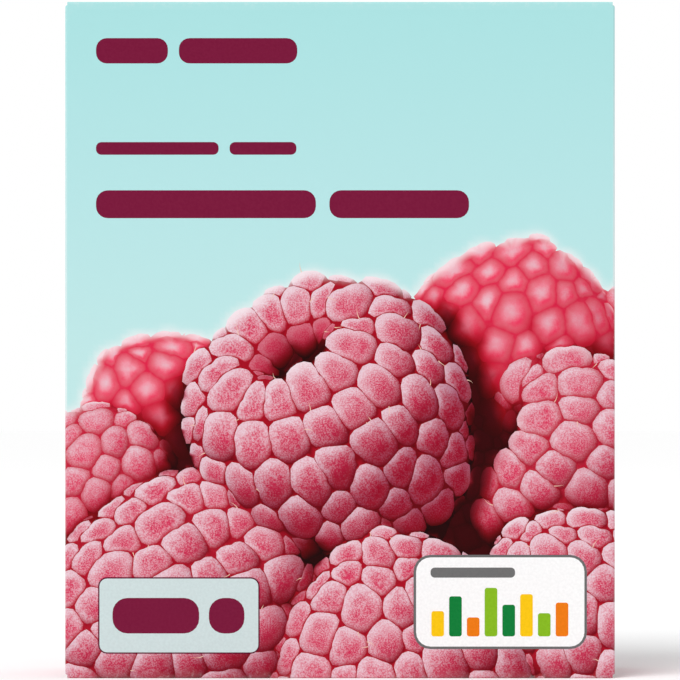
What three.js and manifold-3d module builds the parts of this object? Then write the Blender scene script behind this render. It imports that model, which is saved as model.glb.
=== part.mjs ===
// A shut folding carton for frozen raspberries, standing on its bottom end.
// Millimetres, +Z up. The printed front faces -Y and the origin is the middle of the footprint.

import * as THREE from 'three';
import { mergeVertices } from 'three/addons/utils/BufferGeometryUtils.js';
import Module from 'manifold-3d';

const wasm = await Module();
wasm.setup();

// Driving dimensions of the shut pack
const WIDTH = 130;
const DEPTH = 40;
const HEIGHT = 160;
const BOARD = 0.4;

// How far the front and back bow out in the middle, over what they hold
const CROWN = 0.8;
const FLAT_END = 2;

// Folds, and the gaps left where the blank is cut
const CORNER_RADIUS = 0.5;
const END_FOLD_RADIUS = 0.45;
const FLAP_SIDE_GAP = 0.5;
const FREE_EDGE_GAP = 1.8;
const SEAM_GAP = 1.4;
const SEAM_REACH = 1;

// How deep the flaps' solids run into the sleeve that they are glued to
const FLAP_ROOT = 3;

// Fineness of the curved faces
const COLUMNS = 18;
const ROWS = 22;
const FOLD_STEPS = 5;

const BOARD_COLOUR = 0xb4e2e0;
const BOARD_ROUGHNESS = 0.45;

// The front and back panels stand this far from the middle where they aren't bowed
const PANEL_Y = DEPTH / 2 - CROWN;

// A three.js geometry as a manifold solid: only positions count, and shared corners are merged.
function toSolid(geometry) {
  const bare = new THREE.BufferGeometry();
  bare.setAttribute('position', geometry.getAttribute('position'));
  bare.setIndex(geometry.getIndex());
  const merged = mergeVertices(bare, 1e-4);
  return new wasm.Manifold(new wasm.Mesh({
    numProp: 3,
    vertProperties: new Float32Array(merged.getAttribute('position').array),
    triVerts: new Uint32Array(merged.getIndex().array),
  }));
}

// A manifold solid back as a three.js geometry.
function toGeometry(solid) {
  const mesh = solid.getMesh();
  const geometry = new THREE.BufferGeometry();
  geometry.setAttribute('position', new THREE.BufferAttribute(new Float32Array(mesh.vertProperties), 3));
  geometry.setIndex(new THREE.BufferAttribute(new Uint32Array(mesh.triVerts), 1));
  geometry.computeVertexNormals();
  return geometry;
}

// The sleeve's section: a rectangle with rounded folds, its wide sides cut into columns that can bow.
function sleeveSection() {
  const x = WIDTH / 2 - CORNER_RADIUS;
  const y = PANEL_Y - CORNER_RADIUS;
  const shape = new THREE.Shape();
  shape.moveTo(-x, -PANEL_Y);
  for (let i = 1; i <= COLUMNS; i += 1) {
    shape.lineTo(-x + (2 * x * i) / COLUMNS, -PANEL_Y);
  }
  shape.absarc(x, -y, CORNER_RADIUS, -Math.PI / 2, 0);
  shape.lineTo(WIDTH / 2, y);
  shape.absarc(x, y, CORNER_RADIUS, 0, Math.PI / 2);
  for (let i = 1; i <= COLUMNS; i += 1) {
    shape.lineTo(x - (2 * x * i) / COLUMNS, PANEL_Y);
  }
  shape.absarc(-x, y, CORNER_RADIUS, Math.PI / 2, Math.PI);
  shape.lineTo(-WIDTH / 2, -y);
  shape.absarc(-x, -y, CORNER_RADIUS, Math.PI, 1.5 * Math.PI);
  return shape;
}

// Share of the full bow at a place: 1 in the middle of a panel, 0 along its four folds.
function bow(x, z) {
  const across = Math.cos((Math.PI * x) / WIDTH);
  const run = (z - FLAT_END) / (HEIGHT - 2 * FLAT_END);
  const along = Math.sin(Math.PI * THREE.MathUtils.clamp(run, 0, 1));
  return Math.max(0, across * along);
}

// The four panels, folded in at both ends over the dust flaps, below two layers of end flap.
function sleeve() {
  const end = 2 * BOARD;
  const geometry = new THREE.ExtrudeGeometry(sleeveSection(), {
    depth: HEIGHT - 2 * (end + END_FOLD_RADIUS),
    steps: ROWS,
    curveSegments: FOLD_STEPS,
    bevelEnabled: true,
    bevelThickness: END_FOLD_RADIUS,
    bevelSize: END_FOLD_RADIUS,
    bevelOffset: -END_FOLD_RADIUS,
    bevelSegments: FOLD_STEPS,
  });
  geometry.translate(0, 0, end + END_FOLD_RADIUS);
  const position = geometry.getAttribute('position');
  for (let i = 0; i < position.count; i += 1) {
    const y = position.getY(i);
    const push = CROWN * bow(position.getX(i), position.getZ(i));
    position.setY(i, y * (1 + push / PANEL_Y));
  }
  return geometry;
}

// A flap across the top end: it rounds over its fold on one wide panel and stops at a free edge.
// The side of the fold is -1 for the front panel and 1 for the back panel.
function flap(foldSide, top, freeEdgeGap) {
  const bottom = top - FLAP_ROOT;
  const fold = PANEL_Y - END_FOLD_RADIUS;
  const shape = new THREE.Shape();
  shape.moveTo(-PANEL_Y, bottom);
  shape.lineTo(PANEL_Y - freeEdgeGap, bottom);
  shape.lineTo(PANEL_Y - freeEdgeGap, top);
  shape.lineTo(-fold, top);
  shape.absarc(-fold, top - END_FOLD_RADIUS, END_FOLD_RADIUS, Math.PI / 2, Math.PI);
  const reach = WIDTH / 2 - FLAP_SIDE_GAP;
  const geometry = new THREE.ExtrudeGeometry(shape, {
    depth: 2 * reach,
    curveSegments: FOLD_STEPS,
    bevelEnabled: false,
  });
  const profileToPack = new THREE.Matrix4().makeBasis(
    new THREE.Vector3(0, 1, 0),
    new THREE.Vector3(0, 0, 1),
    new THREE.Vector3(1, 0, 0),
  );
  geometry.applyMatrix4(profileToPack);
  geometry.translate(-reach, 0, 0);
  if (foldSide > 0) {
    geometry.rotateZ(Math.PI);
  }
  return geometry;
}

// The two layers that close an end: the back's flap, with the front's flap glued over it.
function topFlaps() {
  return [
    flap(1, HEIGHT - BOARD, FREE_EDGE_GAP),
    flap(-1, HEIGHT, FREE_EDGE_GAP),
  ];
}

// The bottom end is closed as the top end is.
function bottomFlaps() {
  return topFlaps().map((geometry) => geometry.rotateY(Math.PI).translate(0, 0, HEIGHT));
}

// What is missing at the back left fold, where the left panel's cut edge stops over the glue tab.
function seamStep() {
  const tabX = -WIDTH / 2 + BOARD;
  const outerX = -WIDTH / 2 - SEAM_REACH;
  const outerY = PANEL_Y + SEAM_REACH;
  const shape = new THREE.Shape();
  shape.moveTo(outerX, PANEL_Y - SEAM_GAP);
  shape.lineTo(tabX, PANEL_Y - SEAM_GAP);
  shape.lineTo(tabX, PANEL_Y - CORNER_RADIUS);
  shape.absarc(tabX + CORNER_RADIUS, PANEL_Y - CORNER_RADIUS, CORNER_RADIUS, Math.PI, Math.PI / 2, true);
  shape.lineTo(tabX + CORNER_RADIUS, outerY);
  shape.lineTo(outerX, outerY);
  return new THREE.ExtrudeGeometry(shape, {
    depth: HEIGHT,
    curveSegments: FOLD_STEPS,
    bevelEnabled: false,
  });
}

// The whole pack is one board, folded, glued and shut, so it is one solid.
function carton() {
  let solid = toSolid(sleeve());
  for (const geometry of [...topFlaps(), ...bottomFlaps()]) {
    solid = solid.add(toSolid(geometry));
  }
  solid = solid.subtract(toSolid(seamStep()));
  const material = new THREE.MeshStandardMaterial({
    color: BOARD_COLOUR,
    roughness: BOARD_ROUGHNESS,
    metalness: 0,
  });
  const mesh = new THREE.Mesh(toGeometry(solid), material);
  mesh.name = 'carton';
  return mesh;
}

const pack = new THREE.Group();
pack.add(carton());

export default pack;
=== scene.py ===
# A shut folding carton of frozen raspberries: board panels, glued end flaps and their print.
# Lengths are millimetres in the functions below and metres on every Blender object.
import math
import random

import bpy
import numpy as np
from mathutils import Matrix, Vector
from mathutils.geometry import delaunay_2d_cdt


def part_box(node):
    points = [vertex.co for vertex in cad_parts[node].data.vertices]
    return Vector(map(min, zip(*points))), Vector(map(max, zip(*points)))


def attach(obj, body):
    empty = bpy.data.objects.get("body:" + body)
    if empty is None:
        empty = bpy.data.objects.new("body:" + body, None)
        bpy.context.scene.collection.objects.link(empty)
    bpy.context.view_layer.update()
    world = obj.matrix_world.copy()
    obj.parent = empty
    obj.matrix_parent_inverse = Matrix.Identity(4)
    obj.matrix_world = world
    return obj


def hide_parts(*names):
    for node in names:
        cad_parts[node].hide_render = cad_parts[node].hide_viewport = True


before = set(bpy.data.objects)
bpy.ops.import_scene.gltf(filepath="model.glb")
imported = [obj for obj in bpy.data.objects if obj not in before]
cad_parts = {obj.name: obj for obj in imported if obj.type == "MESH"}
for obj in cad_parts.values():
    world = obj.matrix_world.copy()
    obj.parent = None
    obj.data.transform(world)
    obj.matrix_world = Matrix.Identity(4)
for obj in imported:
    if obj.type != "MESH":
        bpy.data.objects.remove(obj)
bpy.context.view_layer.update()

MM = 0.001
node_low, node_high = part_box("carton")
WIDTH, DEPTH, HEIGHT = ((b - a) / MM for a, b in zip(node_low, node_high))

# The carton as it is folded in the solid
BOARD = 0.4
CROWN = 0.8
FLAT_END = 2.0
CORNER_RADIUS = 0.5
END_FOLD_RADIUS = 0.45
FLAP_SIDE_GAP = 0.5
FREE_EDGE_GAP = 1.8
SEAM_GAP = 1.4
GLUE_TAB = 6.0
DUST_FLAP = 34.0
DUST_FLAP_GAP = 0.4

PANEL_Y = DEPTH / 2 - CROWN
FRONT_HALF = WIDTH / 2 - CORNER_RADIUS
SIDE_HALF = PANEL_Y - CORNER_RADIUS
CORNER_RUN = math.pi / 2 * CORNER_RADIUS
END_RUN = math.pi / 2 * END_FOLD_RADIUS
SIDE_RUN = 2 * (SIDE_HALF + CORNER_RUN)
BACK_MIDDLE = 2 * FRONT_HALF + SIDE_RUN
FOLD_STEPS = 6
TOUCHING = 0.01

# How finely the print is worked out, and how high the heap may reach
CELLS_PER_MM = 8
SHADE_STEP = 4
RAYS = 22
RAY_STEP = 0.06
RAY_COUNT = 150
PLAIN_STEP = 5.0
GLOW_STEP = 1.3
GLOW_BAND = 5.2
GLOW_WIDTH = 1.1
HEAP_TOP = 116.0
HEAP_LOW = -3.0
HEAP_CLEARANCE = 0.3
NO_BERRY = -60.0
GAP_FLOOR = -26.0
LEAST_SHOWN = 70
MERGED_DIGITS = 5
SLIVER = 1e-6

# Where chance starts from
HEAP_SEED = 4
PRINT_SEED = 11

# A berry's section: its hollow, the lip round it and its body, in shares of its length and half its width
HOLLOW_DEPTH, HOLLOW_RISE, HOLLOW_RADIUS, HOLLOW_FLARE = 0.50, 0.42, 0.30, 0.10
LIP_PLACE, LIP_BULGE, LIP_RADIUS, LIP_WIDTH = 0.06, 0.075, 0.565, 0.145
BODY_START, BODY_LENGTH, WIDEST, SHOULDER_DROP = 0.07, 0.93, 0.28, 0.28
TIP_CURVE, TIP_ROUNDNESS = 2.15, 0.62
BERRY_MIDDLE, FLESH_START = 0.45, 0.12

# Drupelets, in shares of their size: how they lie in rows, how far chance moves them, and the flesh below
SMALLEST, GROWTH = 0.84, 0.22
ROW_STEP, SPACING, LONE = 1.02, 0.94, 0.4
STAGGER_JITTER, TURN_JITTER, ALONG_JITTER, OUT_JITTER = 0.12, 0.2, 0.14, 0.1
BALL, BALL_RANGE, STRETCHED = 0.63, (0.92, 1.12), 0.2
FLESH_SUNK, FLESH_BALL = 0.62, 0.76

# The berries are this much flatter from front to back than they look, so that their creases stay even
DEPTH_SQUASH = 0.62

# What the columns of the table of drupelets hold
X, Z, OUT, RADIUS, TONE, HOLLOW, FOCUS = range(7)
FACES = slice(7, 10)
BERRY, UNDER = 10, 11
STRETCH = slice(12, 15)

# What the print reads at each place: where it is in its cell and how deep the crease there is, which way
# it faces, its tone or glow with its shade and focus, the open air near it, and whether it lies in a hollow
READINGS = 11
CELL, FACING, TINT = slice(0, 3), slice(3, 6), slice(6, 9)
GLOW, OPEN_AIR, BARE = 6, 9, 10

# How the cells of drupelets are drawn
POINTEDNESS = 0.04
CREASE_INSET = 0.11
FOCUS_GAIN = 1.4
JUST_BEYOND, JUST_WITHIN = 0.45, 0.3
LEAST_WITHIN, LEAST_RIM = 0.05, 0.1
DROP_IN_BERRY, DROP_BETWEEN = (4.0, 9.0), (0.4, 2.4)
OWN_FACING = 0.8
NARROWEST_GAP = 0.4
HAIR_SHARE = 0.4
HAIR_STEPS = 5
HAIR_WIDTH = 0.22
HAIR_LENGTH = (1.2, 3.2)
HAIR_TURN, HAIR_BEND = 0.7, 0.5
HAIR_FOCUS, HAIR_SHADE = 0.6, 0.3

# What darkens the picture. Each of the first two is a reach, the drop in mm that counts in full, and a weight
CLOSE_SHADE = (3, 5.0, 0.45)
WIDE_SHADE = (12, 9, 0.9)
SHADOW_REACHES = range(2, 26, 2)
SHADOW_ACROSS, SHADOW_UP, SHADOW_RISE = 0.58, 0.82, 0.8
SHADOW_DROP, SHADOW_WEIGHT, SHADOW_BLUR = 6, 0.75, 1
SKYLIGHT_REACH, SKYLIGHT_LEAST = 15.0, 0.2
SKYLINE_BLUR, OPEN_AIR_BLUR = 6, 3
HOLLOW_SHADE = 0.3
SHADE_INSET = 0.9
CREVICE_SHADE = 0.45
BESIDE = 1.0
DEEP_GAP = (0.08, 0.25)

# Where the light comes from in the picture: across, up and out of it, and the same in its plane
SUN = (-0.45, 0.64, 0.62)
SUN_ACROSS, SUN_UP = -0.575, 0.818

# How much brighter than its own colour a panel that faces the lamps shows
STUDIO_LIGHT = 1.12

# The studio's lights: the strength all round, the one overhead, and each lamp's place, size and watts
AMBIENT = 0.6
OVERHEAD = 1.6
OVERHEAD_SPREAD = 35
OVERHEAD_WAY = (0.36, 0.46, -0.81)
LAMPS = {
    "key": ((-0.8, -1.1, 1.2), 0.8, 1.5),
    "fill": ((0.9, 0.9, 0.8), 0.9, 1.5),
}
FLOOR_SIZE = 6

# How much the thin varnish on the print reflects, where 0.5 is clear plastic, and its least roughness
VARNISH = 0.07
VARNISH_ROUGHNESS = 0.24

# The map for textures: its margin and width, then how high the print, the inner face and the edges lie
MAP_START, MAP_WIDTH = 0.001, 0.998
PRINT_HIGH = 0.962
INNER_LOW, INNER_HIGH = 0.968, 0.012
RIM_LOW, RIM_HIGH = 0.986, 0.010

# The print, laid out on the panels
PRINT_LEFT = -57.7
SIDE_PRINT = 28
TEXT_STEP, TEXT_HEIGHT = 3.2, 1.3

# The camera stands far off, and the pack's front fills so many pixels of the photograph's height
LENS, SENSOR = 250, 36
PACK_PIXELS, PHOTO_PIXELS = 677, 680


# Small helpers

def linear(red, green, blue):
    """A screen colour of 0 to 255, as it shows under the studio light, as the colour that a shader takes."""
    scaled = [c / 255 for c in (red, green, blue)]
    lit = [c / 12.92 if c < 0.04045 else ((c + 0.055) / 1.055) ** 2.4 for c in scaled]
    return tuple(c / STUDIO_LIGHT for c in lit) + (1.0,)


def ease(low, high, value):
    """0 up to low, 1 from high, and a smooth rise between."""
    f = np.clip((value - low) / (high - low), 0, 1)
    return f * f * (3 - 2 * f)


def soften(grid, reach):
    """A grid blurred by three passes of a box that reaches so many cells each way."""
    width = 2 * reach + 1
    for axis in (0, 1):
        count = grid.shape[axis]
        for _ in range(3):
            pad = [(0, 0), (0, 0)]
            pad[axis] = (reach + 1, reach)
            total = np.cumsum(np.pad(grid, pad, mode="edge"), axis=axis)
            first = np.take(total, np.arange(count), axis=axis)
            last = np.take(total, np.arange(width, count + width), axis=axis)
            grid = (last - first) / width
    return grid


def even_out(ring, own):
    """Values round a cell, each averaged with its two neighbours and counting so many times itself."""
    return (np.roll(ring, 1) + own * ring + np.roll(ring, -1)) / (2 + own)


def places_round(spots, reach):
    """Eight places round each of some places."""
    for turn in np.arange(8) * math.pi / 4:
        yield spots[:, 0] + reach * math.cos(turn), spots[:, 1] + reach * math.sin(turn)


def add_object(name, data):
    """A new object in the scene that holds a mesh, a light or a camera."""
    made = bpy.data.objects.new(name, data)
    bpy.context.collection.objects.link(made)
    return made


# The pictured raspberries

def berry_outline(length, width):
    """Half of a berry cut along its axis, as places along it, radii, and 1 where it is inside the hollow."""
    line = []
    for step in range(5):
        f = step / 4
        line.append((HOLLOW_DEPTH - HOLLOW_RISE * f, HOLLOW_RADIUS + HOLLOW_FLARE * f, 1))
    for step in range(1, 6):
        turn = math.pi * step / 6
        along = LIP_PLACE - LIP_BULGE * math.sin(turn)
        line.append((along, LIP_RADIUS - LIP_WIDTH * math.cos(turn), step < 3))
    for step in range(40):
        along = BODY_START + BODY_LENGTH * step / 39
        if along < WIDEST:
            radius = 1 - SHOULDER_DROP * ((WIDEST - along) / WIDEST) ** 2
        else:
            radius = (1 - ((along - WIDEST) / (1 - WIDEST)) ** TIP_CURVE) ** TIP_ROUNDNESS
        line.append((along, radius, 0))
    return np.array(line, float) * (length, width / 2, 1)


def berry(number, place, length, width, turn, lean, size, focus, rng):
    """The drupelets of one berry, in staggered rows from its tip over the lip and into its hollow, with
    flesh under the outer ones.

    turn is where the tip points in the picture, in degrees from the right, and lean is how far it points
    out of the picture."""
    a, e = math.radians(turn), math.radians(lean)
    tip = np.array([math.cos(a) * math.cos(e), math.sin(a) * math.cos(e), math.sin(e)])
    side = np.array([-math.sin(a), math.cos(a), 0.0])
    up = np.cross(tip, side)
    line = berry_outline(length, width)
    run = np.concatenate([[0], np.cumsum(np.hypot(*np.diff(line[:, :2], axis=0).T))])
    drupelets = []
    at = run[-1]
    row = 0
    while at > 0:
        along, radius, hollow = (np.interp(at, run, line[:, i]) for i in range(3))
        before, behind = (np.interp(at + d, run, line[:, 0]) for d in (1, -1))
        wider, narrower = (np.interp(at + d, run, line[:, 1]) for d in (-1, 1))
        slope = np.array([wider - narrower, before - behind])
        slope /= np.hypot(*slope)
        local = size * (SMALLEST + GROWTH * radius / (width / 2))
        count = max(1, round(2 * math.pi * radius / (local * SPACING)))
        if radius < local * LONE:
            count = 1
            radius = 0
        stagger = (row % 2) * 0.5 + rng.uniform(-STAGGER_JITTER, STAGGER_JITTER)
        for i in range(count):
            angle = 2 * math.pi * (i + stagger + rng.uniform(-TURN_JITTER, TURN_JITTER)) / count
            outwards = side * math.cos(angle) + up * math.sin(angle)
            reach = along - BERRY_MIDDLE * length + rng.uniform(-ALONG_JITTER, ALONG_JITTER) * size
            centre = tip * reach + outwards * (radius + rng.uniform(-OUT_JITTER, OUT_JITTER) * size)
            ball = local * BALL * rng.uniform(*BALL_RANGE)
            faces = tip * slope[0] + outwards * slope[1]
            stretch = (tip * slope[1] - outwards * slope[0]) * local * STRETCHED
            spot = np.array(place) + centre * (1, 1, DEPTH_SQUASH)
            drupelets.append((*spot, ball, rng.random(), hollow, focus, *faces, number, 0, *stretch))
            if hollow == 0 and along > FLESH_START * length:
                spot = np.array(place) + (centre - faces * FLESH_SUNK * local) * (1, 1, DEPTH_SQUASH)
                drupelets.append((*spot, FLESH_BALL * local, 0.5, 0, focus, *faces, number, 1, *stretch))
        at -= local * ROW_STEP
        row += 1
    return drupelets


# Each berry: place across, up and out of the picture, length, width, turn, lean, drupelet size, focus
FRONT_BERRIES = (
    (0, 57, 14, 60, 57, 300, -36, 8.6, 1.0),
    (-37, 56, -10, 46, 42, 130, 20, 7.4, 0.08),
    (-60, 38, 2, 46, 42, 70, 25, 7.2, 0.5),
    (40, 73, -14, 52, 50, 75, 15, 7.6, 0.1),
    (57, 48, 0, 48, 46, 330, -28, 7.8, 0.6),
    (-41, 14, 18, 60, 54, 200, 35, 8.6, 0.85),
    (14, 1, 22, 58, 56, 100, 30, 8.6, 0.95),
    (58, 11, 16, 52, 48, 120, 30, 8.2, 0.9),
    (-22, 36, -6, 46, 44, 300, 20, 6.8, 0.4),
    (30, 30, -8, 46, 44, 20, 20, 6.8, 0.4),
    (-10, 14, -10, 46, 44, 20, 20, 6.8, 0.4),
    (-64, 12, -4, 46, 44, 200, 20, 6.8, 0.5),
    (22, 62, -20, 46, 44, 20, 20, 6.8, 0.3),
    (62, 66, -22, 46, 44, 70, 20, 6.8, 0.3),
)
SIDE_BERRIES = (
    (84, 34, -4, 46, 44, 60, 20, 7.0, 0.6),
    (82, 8, 6, 48, 44, 150, 25, 7.2, 0.8),
    (104, 24, 2, 44, 42, 100, 25, 7.0, 0.7),
    (72, 52, -20, 44, 42, 100, 20, 6.8, 0.3),
    (-84, 30, -4, 46, 44, 110, 20, 7.0, 0.6),
    (-82, 6, 6, 48, 44, 40, 25, 7.2, 0.8),
    (-104, 22, 2, 44, 42, 70, 25, 7.0, 0.7),
)
BACK_BERRIES = (
    (-6, 40, 12, 56, 54, 70, -22, 7.4, 1.0),
    (34, 46, -6, 50, 46, 60, 15, 6.8, 0.35),
    (-42, 40, -6, 50, 46, 110, 15, 6.8, 0.35),
    (-34, 8, 16, 56, 52, 150, 30, 7.6, 0.9),
    (26, 6, 18, 56, 54, 60, 35, 7.6, 0.95),
    (60, 24, 4, 50, 46, 100, 20, 7.0, 0.7),
    (-62, 20, 0, 48, 46, 80, 25, 7.0, 0.7),
    (-6, 12, -12, 48, 46, 80, 20, 6.8, 0.4),
    (56, 4, -8, 48, 46, 80, 20, 6.8, 0.4),
    (14, 30, -14, 48, 46, 80, 20, 6.8, 0.4),
)


def heap():
    """Every drupelet round the pack, placed across as it lies round the sleeve from the front's middle."""
    rng = random.Random(HEAP_SEED)
    drupelets = []
    number = 0
    for start, berries in ((0, FRONT_BERRIES), (0, SIDE_BERRIES), (BACK_MIDDLE, BACK_BERRIES)):
        for across, up, out, *rest in berries:
            drupelets += berry(number, (start + across, up, out), *rest, rng)
            number += 1
    return np.array(drupelets)


class Picture:
    """The heap seen square on: which drupelet shows at each place, how near it is and how dark it lies."""

    def __init__(self, drupelets, first, last):
        self.drupelets = drupelets
        self.first = first
        shape = (int((HEAP_TOP - HEAP_LOW) * CELLS_PER_MM), int((last - first) * CELLS_PER_MM))
        self.near = np.full(shape, NO_BERRY, np.float32)
        self.owner = np.full(shape, -1, np.int32)
        for index, drupelet in enumerate(drupelets):
            for end in (-1, 1):
                self.draw(index, *(drupelet[:3] + end * drupelet[STRETCH]), drupelet[RADIUS])
        empty = (self.owner[::SHADE_STEP, ::SHADE_STEP] < 0).astype(np.float32)
        self.open_air = soften(empty, OPEN_AIR_BLUR)
        self.shade = self.find_shade()

    def draw(self, index, x, z, out, radius):
        """Puts one ball of a drupelet in the picture, wherever it is the nearest so far."""
        rows, columns = self.owner.shape
        left, right = max(self.columns(x - radius), 0), min(self.columns(x + radius) + 1, columns)
        low, high = max(self.rows(z - radius), 0), min(self.rows(z + radius) + 1, rows)
        if left >= right or low >= high:
            return
        dx = self.across(np.arange(left, right)) - x
        dz = self.up(np.arange(low, high)) - z
        room = radius ** 2 - dx[None, :] ** 2 - dz[:, None] ** 2
        height = np.where(room > 0, out + np.sqrt(np.maximum(room, 0)), NO_BERRY)
        window = (slice(low, high), slice(left, right))
        nearer = height > self.near[window]
        self.near[window][nearer] = height[nearer]
        self.owner[window][nearer] = index

    def across(self, columns):
        return self.first + (columns + 0.5) / CELLS_PER_MM

    def up(self, rows):
        return HEAP_LOW + (rows + 0.5) / CELLS_PER_MM

    def columns(self, x):
        return np.floor((np.asarray(x) - self.first) * CELLS_PER_MM).astype(int)

    def rows(self, z):
        return np.floor((np.asarray(z) - HEAP_LOW) * CELLS_PER_MM).astype(int)

    def read(self, grid, x, z, fineness=1):
        """The grid's values at places, each moved to the picture's edge where it lies outside."""
        rows = np.clip(self.rows(z) // fineness, 0, grid.shape[0] - 1)
        columns = np.clip(self.columns(x) // fineness, 0, grid.shape[1] - 1)
        return grid[rows, columns]

    def find_shade(self):
        """How far each place lies below what is round it, and in the shade of what stands between it and
        the sun, from 0 to 1."""
        near = np.maximum(self.near[::SHADE_STEP, ::SHADE_STEP], GAP_FLOOR)
        light = 1
        for reach, drop, weight in (CLOSE_SHADE, WIDE_SHADE):
            light = light * (1 - weight * np.clip((soften(near, reach) - near) / drop, 0, 1))
        light = light * (1 - SHADOW_WEIGHT * soften(self.cast_shadow(near), SHADOW_BLUR))
        return np.clip(1 - light, 0, 1) * self.below_skyline()

    def cast_shadow(self, near):
        """How deep each place of the coarse picture lies in the shadow of what is nearer to the sun."""
        shadow = np.zeros_like(near)
        for reach in SHADOW_REACHES:
            across, up = round(reach * SHADOW_ACROSS), round(reach * SHADOW_UP)
            moved = np.full_like(near, GAP_FLOOR)
            moved[: near.shape[0] - up, across:] = near[up:, : near.shape[1] - across]
            over = moved - near - reach * SHADE_STEP / CELLS_PER_MM * SHADOW_RISE
            shadow = np.maximum(shadow, np.clip(over / SHADOW_DROP, 0, 1))
        return shadow

    def below_skyline(self):
        """How little of the open air behind the heap still lights each place, up to 1."""
        covered = self.owner[::SHADE_STEP, ::SHADE_STEP] >= 0
        rows = np.arange(covered.shape[0])[:, None]
        skyline = (covered * rows).max(axis=0).astype(float)
        skyline = soften(skyline[None, :], SKYLINE_BLUR)
        below = ease(0, SKYLIGHT_REACH * CELLS_PER_MM / SHADE_STEP, skyline - rows)
        return SKYLIGHT_LEAST + (1 - SKYLIGHT_LEAST) * below

    def drupelets_shown(self):
        """Index, and the rows and columns of the raster, of each drupelet of which enough shows."""
        order = np.argsort(self.owner, axis=None, kind="stable")
        owners = self.owner.ravel()[order]
        shown, starts = np.unique(owners, return_index=True)
        ends = np.append(starts[1:], len(owners))
        for index, start, end in zip(shown, starts, ends):
            if index >= 0 and end - start >= LEAST_SHOWN and not self.drupelets[index, UNDER]:
                yield index, *np.unravel_index(order[start:end], self.owner.shape)

    def cell(self, index, rows, columns):
        """The outline of what shows of one drupelet: rays from its middle run on to where another begins.

        Returns the middle, the rim, which way each ray runs and how deep the crease at its end is."""
        nearest = np.argmin((rows - rows.mean()) ** 2 + (columns - columns.mean()) ** 2)
        middle = np.array([self.across(columns[nearest]), self.up(rows[nearest])])
        turns = np.arange(RAYS) * 2 * math.pi / RAYS
        ways = np.stack([np.cos(turns), np.sin(turns)], 1)
        reach = np.arange(1, RAY_COUNT) * RAY_STEP
        spots = middle + ways[:, None, :] * reach[None, :, None]
        same = self.read(self.owner, spots[..., 0], spots[..., 1]) == index
        same &= (spots[..., 1] > HEAP_LOW) & (spots[..., 1] < HEAP_TOP)
        run = reach[np.argmin(same, axis=1)]
        run = np.minimum(run, even_out(run, 2) + POINTEDNESS)
        beyond = middle + ways * (run + JUST_BEYOND)[:, None]
        within = middle + ways * np.maximum(run - JUST_WITHIN, LEAST_WITHIN)[:, None]
        drop = self.read(self.near, *within.T) - self.read(self.near, *beyond.T)
        other = self.read(self.owner, *beyond.T)
        joined = (other >= 0) & (self.drupelets[other, BERRY] == self.drupelets[index, BERRY])
        crease = even_out(1 - np.where(joined, ease(*DROP_IN_BERRY, drop), ease(*DROP_BETWEEN, drop)), 2)
        inset = CREASE_INSET * crease * min(1.0, FOCUS_GAIN * self.drupelets[index, FOCUS])
        rim = middle + ways * np.maximum(run - inset, LEAST_RIM)[:, None]
        return middle, rim, ways, crease

    def well_inside(self, spots):
        """Whether the heap shows at places and a little way round them."""
        held = np.ones(len(spots), bool)
        for x, z in places_round(spots, NARROWEST_GAP):
            held &= self.read(self.owner, x, z) >= 0
        return held

    def shade_by_gaps(self, spots, share):
        """The shade at places, drawn by a share to the shade of any deep gap beside them."""
        shade = self.read(self.shade, *spots.T, SHADE_STEP)
        deepest = shade
        for x, z in places_round(spots, BESIDE):
            deepest = np.maximum(deepest, self.read(self.shade, x, z, SHADE_STEP))
        return shade + share * (deepest - shade) * ease(*DEEP_GAP, deepest - shade)

    def facing(self, indices, spots, at_rim):
        """Which way the round surfaces of drupelets face, each at one place: across, up and out.

        A berry out of focus keeps only its own roundness at the rims of its drupelets."""
        own = self.drupelets[indices]
        slope = np.clip((spots - own[:, [X, Z]]) / own[:, [RADIUS]], -1, 1)
        slope *= 1 - at_rim * (1 - np.minimum(1, FOCUS_GAIN * own[:, [FOCUS]]))
        out = np.sqrt(np.maximum(0.02, 1 - (slope ** 2).sum(axis=1)))
        return np.column_stack([slope, out]) + OWN_FACING * own[:, FACES]

    def readings(self, spots, owners, cell, at_rim, tone, shade):
        """What the print reads at places, in the order of its columns."""
        return np.column_stack([
            cell,
            self.facing(owners, spots, at_rim),
            np.broadcast_to(tone, len(spots)),
            shade,
            self.drupelets[owners, FOCUS],
            self.read(self.open_air, *spots.T, SHADE_STEP),
            self.drupelets[owners, HOLLOW],
        ])

    def fans(self, covered):
        """All shown drupelets as fans of triangles: places of the corners, and what the print reads there."""
        places, values = [], []
        corners = np.array([[0, i + 1, (i + 1) % RAYS + 1] for i in range(RAYS)])
        at_rim = np.append(0, np.ones(RAYS))[:, None]
        for index, rows, columns in self.drupelets_shown():
            middle, rim, ways, crease = self.cell(index, rows, columns)
            spots = np.vstack([middle, rim])
            if covered(spots):
                continue
            inner = np.vstack([middle, middle + (rim - middle) * SHADE_INSET])
            tone, hollow, focus = self.drupelets[index, [TONE, HOLLOW, FOCUS]]
            shade = self.shade_by_gaps(inner, 1 - focus)
            for _ in range(2):
                shade[1:] = even_out(shade[1:], 1)
            shade = np.maximum(shade, HOLLOW_SHADE * hollow)
            cell = np.column_stack([np.vstack([[0, 0], ways]), np.append(0, crease)])
            owners = np.full(RAYS + 1, index)
            values.append(self.readings(spots, owners, cell, at_rim, tone, shade)[corners])
            places.append(spots[corners])
        return np.concatenate(places), np.concatenate(values)

    def crevices(self, spots):
        """What the print reads at places between the shown drupelets: creases turned from the sun, which
        are as dark as what is beside them where that is a deep gap."""
        owners = self.read(self.owner, *spots.T)
        shade = np.maximum(self.shade_by_gaps(spots, 1), CREVICE_SHADE * self.drupelets[owners, FOCUS])
        turned = np.tile((-SUN_ACROSS, -SUN_UP, 1.0), (len(spots), 1))
        return self.readings(spots, owners, turned, 1, 0.5, shade)

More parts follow.
